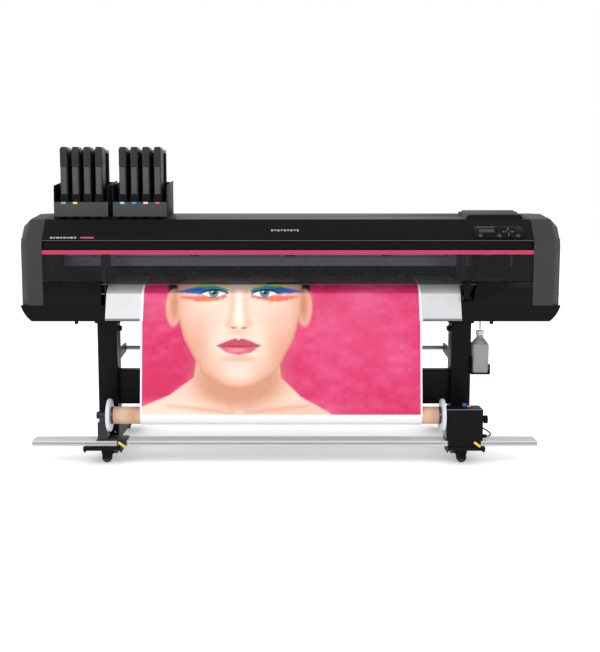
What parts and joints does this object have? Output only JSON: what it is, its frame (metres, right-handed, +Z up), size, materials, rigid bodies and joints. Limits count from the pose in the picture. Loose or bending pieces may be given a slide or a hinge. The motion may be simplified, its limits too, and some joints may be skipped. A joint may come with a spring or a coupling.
{
  "type": "wide-format roll printer",
  "caption": "Wide-format roll-to-roll printer on a wheeled stand with ink docks, smoked window, media guide and take-up unit.",
  "frame": {"origin": "centre of the footprint at floor level", "axes": "+X along the media width to the operator's right, +Y to the back, +Z up"},
  "size_m": [2.7, 0.934, 1.575],
  "materials": {
    "cover_grey": "fine texture moulded",
    "cover_black": "satin moulded",
    "accent_pink": "satin",
    "smoked_window": "polished transparent",
    "panel_black": "satin",
    "stand_black": "powder coat",
    "chassis_steel": "satin",
    "rail_steel": "brushed",
    "aluminium": "anodised",
    "carriage_black": "satin",
    "rubber": "matte",
    "caster_metal": "satin",
    "printed_media": "satin vinyl",
    "blank_media": "satin vinyl",
    "core_board": "smooth",
    "flange_white": "satin",
    "lever_yellow": "satin",
    "switch_blue": "satin",
    "bottle_clear": "translucent",
    "cartridge_black": "satin"
  },
  "bodies": {
    "printer_frame": {"stand_feet": "stand_black", "stand_columns": "stand_black", "stand_crossbeam": "stand_black", "lower_cover": "cover_black", "main_frame": "chassis_steel", "side_covers": "cover_grey", "top_cover": "cover_black", "accent_strip": "accent_pink", "front_panels": "cover_black", "control_panel": "panel_black", "carriage_rail": "rail_steel", "drive_belt": "rubber", "platen": "aluminium", "exit_guide": "aluminium", "printed_web": "printed_media", "takeup_rail": "aluminium", "ink_docks": "cover_grey", "supply_holders": "stand_black", "bottle_holder": "stand_black", "waste_tube": "bottle_clear"},
    "fork_front_left": {"caster_fork_front_left": "caster_metal"},
    "wheel_front_left": {"caster_wheel_front_left": "rubber"},
    "pedal_front_left": {"caster_pedal_front_left": "caster_metal"},
    "fork_front_right": {"caster_fork_front_right": "caster_metal"},
    "wheel_front_right": {"caster_wheel_front_right": "rubber"},
    "pedal_front_right": {"caster_pedal_front_right": "caster_metal"},
    "fork_rear_left": {"caster_fork_rear_left": "caster_metal"},
    "wheel_rear_left": {"caster_wheel_rear_left": "rubber"},
    "fork_rear_right": {"caster_fork_rear_right": "caster_metal"},
    "wheel_rear_right": {"caster_wheel_rear_right": "rubber"},
    "window": {"front_cover": "smoked_window"},
    "lid": {"service_lid": "cover_black"},
    "carriage": {"print_carriage": "carriage_black"},
    "drive_pulley_body": {"drive_pulley": "aluminium"},
    "idler_pulley_body": {"idler_pulley": "aluminium"},
    "feed_roller_body": {"feed_roller": "rail_steel"},
    "lever": {"loading_lever": "carriage_black"},
    "arms": {"pinch_arms": "chassis_steel"},
    "pinches": {"pinch_rollers": "rubber"},
    "cartridge_1": {"ink_cartridge_1": "cartridge_black"},
    "cartridge_2": {"ink_cartridge_2": "cartridge_black"},
    "cartridge_3": {"ink_cartridge_3": "cartridge_black"},
    "cartridge_4": {"ink_cartridge_4": "cartridge_black"},
    "cartridge_5": {"ink_cartridge_5": "cartridge_black"},
    "cartridge_6": {"ink_cartridge_6": "cartridge_black"},
    "cartridge_7": {"ink_cartridge_7": "cartridge_black"},
    "cartridge_8": {"ink_cartridge_8": "cartridge_black"},
    "idler_unit": {"takeup_idler_holder": "stand_black"},
    "drive_unit": {"takeup_drive_box": "stand_black", "switch_cable": "rubber"},
    "core": {"takeup_core": "core_board"},
    "idler_flange": {"takeup_idler_flange": "flange_white"},
    "drive_flange": {"takeup_drive_flange": "flange_white"},
    "left_lock": {"left_lock_lever": "lever_yellow"},
    "right_lock": {"right_lock_lever": "lever_yellow"},
    "switch": {"takeup_switch": "switch_blue"},
    "knob": {"takeup_knob": "carriage_black"},
    "keys": {"panel_keys": "panel_black"},
    "bottle": {"waste_bottle": "bottle_clear"},
    "supply": {"supply_roll": "blank_media"}
  },
  "joints": [
    {"name": "swivel_front_left", "type": "hinge", "parent": "printer_frame", "child": "fork_front_left", "pos_m": [-0.937, -0.375, 0.073], "axis": [0, 0, 1], "continuous": true},
    {"name": "roll_front_left", "type": "hinge", "parent": "fork_front_left", "child": "wheel_front_left", "pos_m": [-0.922, -0.375, 0.025], "axis": [0, 1, 0], "continuous": true},
    {"name": "brake_front_left", "type": "hinge", "parent": "fork_front_left", "child": "pedal_front_left", "pos_m": [-0.897, -0.375, 0.047], "axis": [0, 1, 0], "range_deg": [0, 12]},
    {"name": "swivel_front_right", "type": "hinge", "parent": "printer_frame", "child": "fork_front_right", "pos_m": [0.873, -0.375, 0.073], "axis": [0, 0, 1], "continuous": true},
    {"name": "roll_front_right", "type": "hinge", "parent": "fork_front_right", "child": "wheel_front_right", "pos_m": [0.858, -0.375, 0.025], "axis": [0, -1, 0], "continuous": true},
    {"name": "brake_front_right", "type": "hinge", "parent": "fork_front_right", "child": "pedal_front_right", "pos_m": [0.833, -0.375, 0.047], "axis": [0, -1, 0], "range_deg": [0, 12]},
    {"name": "swivel_rear_left", "type": "hinge", "parent": "printer_frame", "child": "fork_rear_left", "pos_m": [-0.937, 0.375, 0.073], "axis": [0, 0, 1], "continuous": true},
    {"name": "roll_rear_left", "type": "hinge", "parent": "fork_rear_left", "child": "wheel_rear_left", "pos_m": [-0.937, 0.39, 0.025], "axis": [-1, 0, 0], "continuous": true},
    {"name": "swivel_rear_right", "type": "hinge", "parent": "printer_frame", "child": "fork_rear_right", "pos_m": [0.873, 0.375, 0.073], "axis": [0, 0, 1], "continuous": true},
    {"name": "roll_rear_right", "type": "hinge", "parent": "fork_rear_right", "child": "wheel_rear_right", "pos_m": [0.873, 0.39, 0.025], "axis": [-1, 0, 0], "continuous": true},
    {"name": "front_cover_hinge", "type": "hinge", "parent": "printer_frame", "child": "window", "pos_m": [0, -0.313, 1.0345], "axis": [-1, 0, 0], "range_deg": [0, 90]},
    {"name": "service_lid_hinge", "type": "hinge", "parent": "printer_frame", "child": "lid", "pos_m": [1.031, -0.022, 1.2451], "axis": [-1, 0, 0], "range_deg": [0, 80]},
    {"name": "carriage_slide", "type": "slide", "parent": "printer_frame", "child": "carriage", "axis": [-1, 0, 0], "range_m": [0, 2.09]},
    {"name": "drive_pulley_spin", "type": "hinge", "parent": "printer_frame", "child": "drive_pulley_body", "pos_m": [1.15, 0.05, 1.062], "axis": [0, 0, 1], "continuous": true},
    {"name": "idler_pulley_spin", "type": "hinge", "parent": "printer_frame", "child": "idler_pulley_body", "pos_m": [-1.15, 0.05, 1.062], "axis": [0, 0, 1], "continuous": true},
    {"name": "feed_roller_spin", "type": "hinge", "parent": "printer_frame", "child": "feed_roller_body", "pos_m": [0, 0.02, 0.8876], "axis": [1, 0, 0], "continuous": true},
    {"name": "loading_lever_tilt", "type": "hinge", "parent": "printer_frame", "child": "lever", "pos_m": [0.879, -0.328, 0.822], "axis": [1, 0, 0], "range_deg": [0, 35]},
    {"name": "pinch_arm_tilt", "type": "hinge", "parent": "printer_frame", "child": "arms", "pos_m": [0, 0.078, 0.938], "axis": [1, 0, 0], "range_deg": [-6, 0]},
    {"name": "pinch_roller_spin", "type": "hinge", "parent": "arms", "child": "pinches", "pos_m": [0, 0.02, 0.917], "axis": [1, 0, 0], "continuous": true},
    {"name": "cartridge_1_lift", "type": "slide", "parent": "printer_frame", "child": "cartridge_1", "axis": [0, 0, 1], "range_m": [0, 0.1]},
    {"name": "cartridge_2_lift", "type": "slide", "parent": "printer_frame", "child": "cartridge_2", "axis": [0, 0, 1], "range_m": [0, 0.1]},
    {"name": "cartridge_3_lift", "type": "slide", "parent": "printer_frame", "child": "cartridge_3", "axis": [0, 0, 1], "range_m": [0, 0.1]},
    {"name": "cartridge_4_lift", "type": "slide", "parent": "printer_frame", "child": "cartridge_4", "axis": [0, 0, 1], "range_m": [0, 0.1]},
    {"name": "cartridge_5_lift", "type": "slide", "parent": "printer_frame", "child": "cartridge_5", "axis": [0, 0, 1], "range_m": [0, 0.1]},
    {"name": "cartridge_6_lift", "type": "slide", "parent": "printer_frame", "child": "cartridge_6", "axis": [0, 0, 1], "range_m": [0, 0.1]},
    {"name": "cartridge_7_lift", "type": "slide", "parent": "printer_frame", "child": "cartridge_7", "axis": [0, 0, 1], "range_m": [0, 0.1]},
    {"name": "cartridge_8_lift", "type": "slide", "parent": "printer_frame", "child": "cartridge_8", "axis": [0, 0, 1], "range_m": [0, 0.1]},
    {"name": "idler_unit_slide", "type": "slide", "parent": "printer_frame", "child": "idler_unit", "axis": [-1, 0, 0], "range_m": [0, 0.2]},
    {"name": "drive_unit_slide", "type": "slide", "parent": "printer_frame", "child": "drive_unit", "axis": [1, 0, 0], "range_m": [0, 0.2]},
    {"name": "core_spin", "type": "hinge", "parent": "printer_frame", "child": "core", "pos_m": [0, -0.385, 0.241], "axis": [1, 0, 0], "continuous": true},
    {"name": "idler_flange_spin", "type": "hinge", "parent": "idler_unit", "child": "idler_flange", "pos_m": [-0.904, -0.385, 0.241], "axis": [1, 0, 0], "continuous": true},
    {"name": "drive_flange_spin", "type": "hinge", "parent": "drive_unit", "child": "drive_flange", "pos_m": [0.759, -0.385, 0.241], "axis": [1, 0, 0], "continuous": true},
    {"name": "left_lock_turn", "type": "hinge", "parent": "idler_unit", "child": "left_lock", "pos_m": [-0.838, -0.438, 0.107], "axis": [0, 1, 0], "range_deg": [0, 60]},
    {"name": "right_lock_turn", "type": "hinge", "parent": "drive_unit", "child": "right_lock", "pos_m": [0.923, -0.438, 0.107], "axis": [0, 1, 0], "range_deg": [0, 60]},
    {"name": "takeup_switch_press", "type": "slide", "parent": "drive_unit", "child": "switch", "axis": [0, 0, -1], "range_m": [0, 0.003], "stiffness_N_per_m": 300},
    {"name": "takeup_knob_turn", "type": "hinge", "parent": "drive_unit", "child": "knob", "pos_m": [0.96, -0.385, 0.22], "axis": [1, 0, 0], "range_deg": [-135, 135]},
    {"name": "panel_key_press", "type": "slide", "parent": "printer_frame", "child": "keys", "axis": [0, 0.7351, -0.678], "range_m": [0, 0.001], "stiffness_N_per_m": 400},
    {"name": "waste_bottle_draw", "type": "slide", "parent": "printer_frame", "child": "bottle", "axis": [0, -1, 0], "range_m": [0, 0.15]},
    {"name": "supply_roll_spin", "type": "hinge", "parent": "printer_frame", "child": "supply", "pos_m": [0, 0.33, 0.48], "axis": [1, 0, 0], "continuous": true}
  ],
  "couplings": [
    {"joint": "drive_pulley_spin", "follows": "carriage_slide", "rad_per_m": -66},
    {"joint": "idler_pulley_spin", "follows": "carriage_slide", "rad_per_m": -66},
    {"joint": "pinch_arm_tilt", "follows": "loading_lever_tilt", "ratio": -0.17},
    {"joint": "pinch_roller_spin", "follows": "feed_roller_spin", "ratio": -1.3333},
    {"joint": "idler_flange_spin", "follows": "core_spin", "ratio": 1},
    {"joint": "drive_flange_spin", "follows": "core_spin", "ratio": 1}
  ]
}
